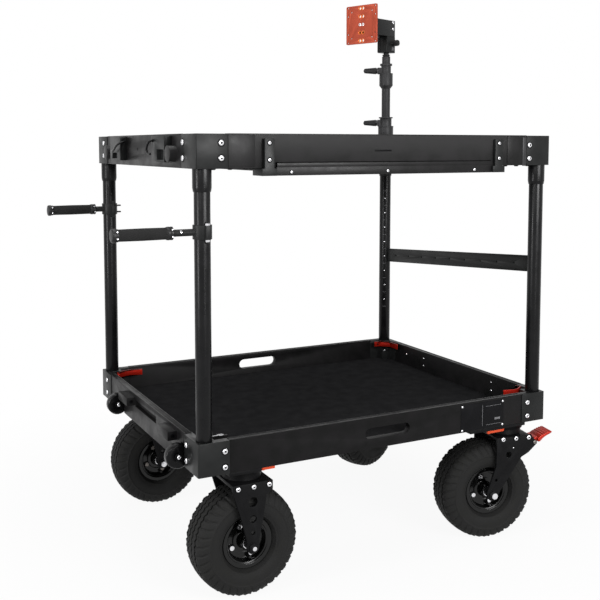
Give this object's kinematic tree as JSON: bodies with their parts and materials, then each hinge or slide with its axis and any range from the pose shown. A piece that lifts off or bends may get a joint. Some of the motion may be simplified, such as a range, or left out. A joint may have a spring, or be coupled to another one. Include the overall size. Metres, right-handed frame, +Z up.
{
  "type": "camera cart",
  "caption": "Two-tray rolling equipment cart on pneumatic casters with push handles, a pull-out shelf, and a telescoping mast with a monitor plate.",
  "frame": {"origin": "middle of the bounding box on the ground plane", "axes": "+X along the long front toward the swivel casters, +Y toward the back, +Z up"},
  "size_m": [1.0882, 0.7467, 1.3475],
  "materials": {
    "frame": "fine-textured black powder coat",
    "block": "satin black painted casting",
    "tube": "semi-gloss black tube",
    "carpet": "short-pile black carpet",
    "tyre": "black pneumatic tyre rubber",
    "rubber": "moulded black rubber",
    "foam": "matte black foam grip",
    "rim": "gloss black enamel",
    "fork": "black powder-coated steel plate",
    "red": "red anodised aluminium",
    "orange": "orange anodised aluminium",
    "plate": "orange-red anodised plate",
    "plastic": "moulded black plastic"
  },
  "bodies": {
    "base": {"lower_tray": "frame", "lower_carpet": "carpet", "upper_tray": "frame", "upper_carpet": "carpet", "lower_corner_near_left": "block", "lower_corner_near_right": "block", "lower_corner_far_left": "block", "lower_corner_far_right": "block", "upper_corner_near_left": "block", "upper_corner_near_right": "block", "upper_corner_far_left": "block", "upper_corner_far_right": "block", "post_near_left": "tube", "post_near_right": "tube", "post_far_left": "tube", "post_far_right": "tube", "post_angle_near_left": "red", "post_angle_near_right": "red", "post_angle_far_left": "red", "post_angle_far_right": "red", "hook_block_far": "block", "hook_block_near": "block", "shelf_bracket_left": "block", "shelf_bracket_right": "block", "cross_bar": "block", "fixed_fork_near_left": "fork", "fixed_fork_far_left": "fork", "caster_mount_near_right": "fork", "caster_mount_far_right": "fork", "mast_sleeve": "block"},
    "wheel_near_left": {"rim_near_left": "rim", "tyre_near_left": "tyre"},
    "wheel_far_left": {"rim_far_left": "rim", "tyre_far_left": "tyre"},
    "swivel_near_right": {"swivel_fork_near_right": "fork"},
    "wheel_near_right": {"rim_near_right": "rim", "tyre_near_right": "tyre"},
    "pedal_near_right": {"brake_pedal_near_right": "red"},
    "swivel_far_right": {"swivel_fork_far_right": "fork"},
    "wheel_far_right": {"rim_far_right": "rim", "tyre_far_right": "tyre"},
    "pedal_far_right": {"brake_pedal_far_right": "red"},
    "lock_left": {"lock_lever_near_left": "orange"},
    "lock_right": {"lock_lever_near_right": "orange"},
    "roller_near": {"side_roller_near": "rubber"},
    "roller_far": {"side_roller_far": "rubber"},
    "hook_far_body": {"hook_far": "tube"},
    "hook_near_body": {"hook_near": "tube"},
    "shelf": {"pull_out_shelf": "frame"},
    "handle_near": {"handle_arm_near": "block", "handle_grip_near": "foam"},
    "handle_far": {"handle_arm_far": "block", "handle_grip_far": "foam"},
    "mast_knob_lower_body": {"mast_knob_lower": "plastic"},
    "mast": {"mast_tube": "tube"},
    "mast_knob_upper_body": {"mast_knob_upper": "plastic"},
    "spigot": {"mast_spigot": "tube"},
    "head": {"head_clamp": "block", "head_arm": "block"},
    "monitor_mount": {"monitor_plate": "plate"}
  },
  "joints": [
    {"name": "wheel_near_left_spin", "type": "hinge", "parent": "base", "child": "wheel_near_left", "pos_m": [-0.26053, -0.28881, 0.1165], "axis": [0, 1, 0], "continuous": true},
    {"name": "wheel_far_left_spin", "type": "hinge", "parent": "base", "child": "wheel_far_left", "pos_m": [-0.26053, 0.28519, 0.1165], "axis": [0, 1, 0], "continuous": true},
    {"name": "swivel_near_right_turn", "type": "hinge", "parent": "base", "child": "swivel_near_right", "pos_m": [0.43207, -0.29781, 0.2585], "axis": [0, 0, 1], "continuous": true},
    {"name": "wheel_near_right_spin", "type": "hinge", "parent": "swivel_near_right", "child": "wheel_near_right", "pos_m": [0.37618, -0.28664, 0.1165], "axis": [0.1959, 0.9806, 0], "continuous": true},
    {"name": "pedal_near_right_press", "type": "hinge", "parent": "swivel_near_right", "child": "pedal_near_right", "pos_m": [0.48012, -0.30741, 0.2355], "axis": [0.1959, 0.9806, 0], "range_deg": [0, 18]},
    {"name": "swivel_far_right_turn", "type": "hinge", "parent": "base", "child": "swivel_far_right", "pos_m": [0.43207, 0.29419, 0.2585], "axis": [0, 0, 1], "continuous": true},
    {"name": "wheel_far_right_spin", "type": "hinge", "parent": "swivel_far_right", "child": "wheel_far_right", "pos_m": [0.37886, 0.27376, 0.1165], "axis": [-0.3584, 0.9336, 0], "continuous": true},
    {"name": "pedal_far_right_press", "type": "hinge", "parent": "swivel_far_right", "child": "pedal_far_right", "pos_m": [0.47782, 0.31175, 0.2355], "axis": [-0.3584, 0.9336, 0], "range_deg": [0, 18]},
    {"name": "lock_left_swing", "type": "hinge", "parent": "base", "child": "lock_left", "pos_m": [-0.23753, -0.34681, 0.2798], "axis": [0, 0, 1], "range_deg": [-60, 0]},
    {"name": "lock_right_swing", "type": "hinge", "parent": "base", "child": "lock_right", "pos_m": [0.34547, -0.34781, 0.2725], "axis": [0, 0, 1], "range_deg": [-60, 0]},
    {"name": "roller_near_spin", "type": "hinge", "parent": "base", "child": "roller_near", "pos_m": [-0.39353, -0.26281, 0.3055], "axis": [0, 1, 0], "continuous": true},
    {"name": "roller_far_spin", "type": "hinge", "parent": "base", "child": "roller_far", "pos_m": [-0.39353, 0.17419, 0.3055], "axis": [0, 1, 0], "continuous": true},
    {"name": "hook_far_lift", "type": "hinge", "parent": "base", "child": "hook_far_body", "pos_m": [-0.38953, 0.10219, 0.9525], "axis": [0, 1, 0], "range_deg": [0, 70]},
    {"name": "hook_near_swing", "type": "hinge", "parent": "base", "child": "hook_near_body", "pos_m": [-0.39753, -0.14281, 0.9535], "axis": [1, 0, 0], "range_deg": [-35, 35]},
    {"name": "shelf_slide", "type": "slide", "parent": "base", "child": "shelf", "axis": [0, -1, 0], "range_m": [0, 0.3]},
    {"name": "handle_near_swing", "type": "hinge", "parent": "base", "child": "handle_near", "pos_m": [-0.36153, -0.33481, 0.7735], "axis": [0, 0, 1], "range_deg": [-90, 90]},
    {"name": "handle_far_swing", "type": "hinge", "parent": "base", "child": "handle_far", "pos_m": [-0.36153, 0.33119, 0.7795], "axis": [0, 0, 1], "range_deg": [-90, 90]},
    {"name": "mast_knob_lower_turn", "type": "hinge", "parent": "base", "child": "mast_knob_lower_body", "pos_m": [0.46502, 0.34403, 1.0115], "axis": [-0.8581, 0.5135, 0], "continuous": true},
    {"name": "mast_raise", "type": "slide", "parent": "base", "child": "mast", "axis": [0, 0, 1], "range_m": [0, 0.25]},
    {"name": "mast_knob_upper_turn", "type": "hinge", "parent": "mast", "child": "mast_knob_upper_body", "pos_m": [0.46502, 0.34403, 1.1665], "axis": [-0.8581, 0.5135, 0], "continuous": true},
    {"name": "spigot_raise", "type": "slide", "parent": "mast", "child": "spigot", "axis": [0, 0, 1], "range_m": [0, 0.15]},
    {"name": "head_pan", "type": "hinge", "parent": "spigot", "child": "head", "pos_m": [0.48647, 0.33119, 1.2425], "axis": [0, 0, 1], "range_deg": [-170, 170]},
    {"name": "plate_tilt", "type": "hinge", "parent": "head", "child": "monitor_mount", "pos_m": [0.39438, 0.29767, 1.2925], "axis": [0.342, -0.9397, 0], "range_deg": [-12, 12]}
  ]
}
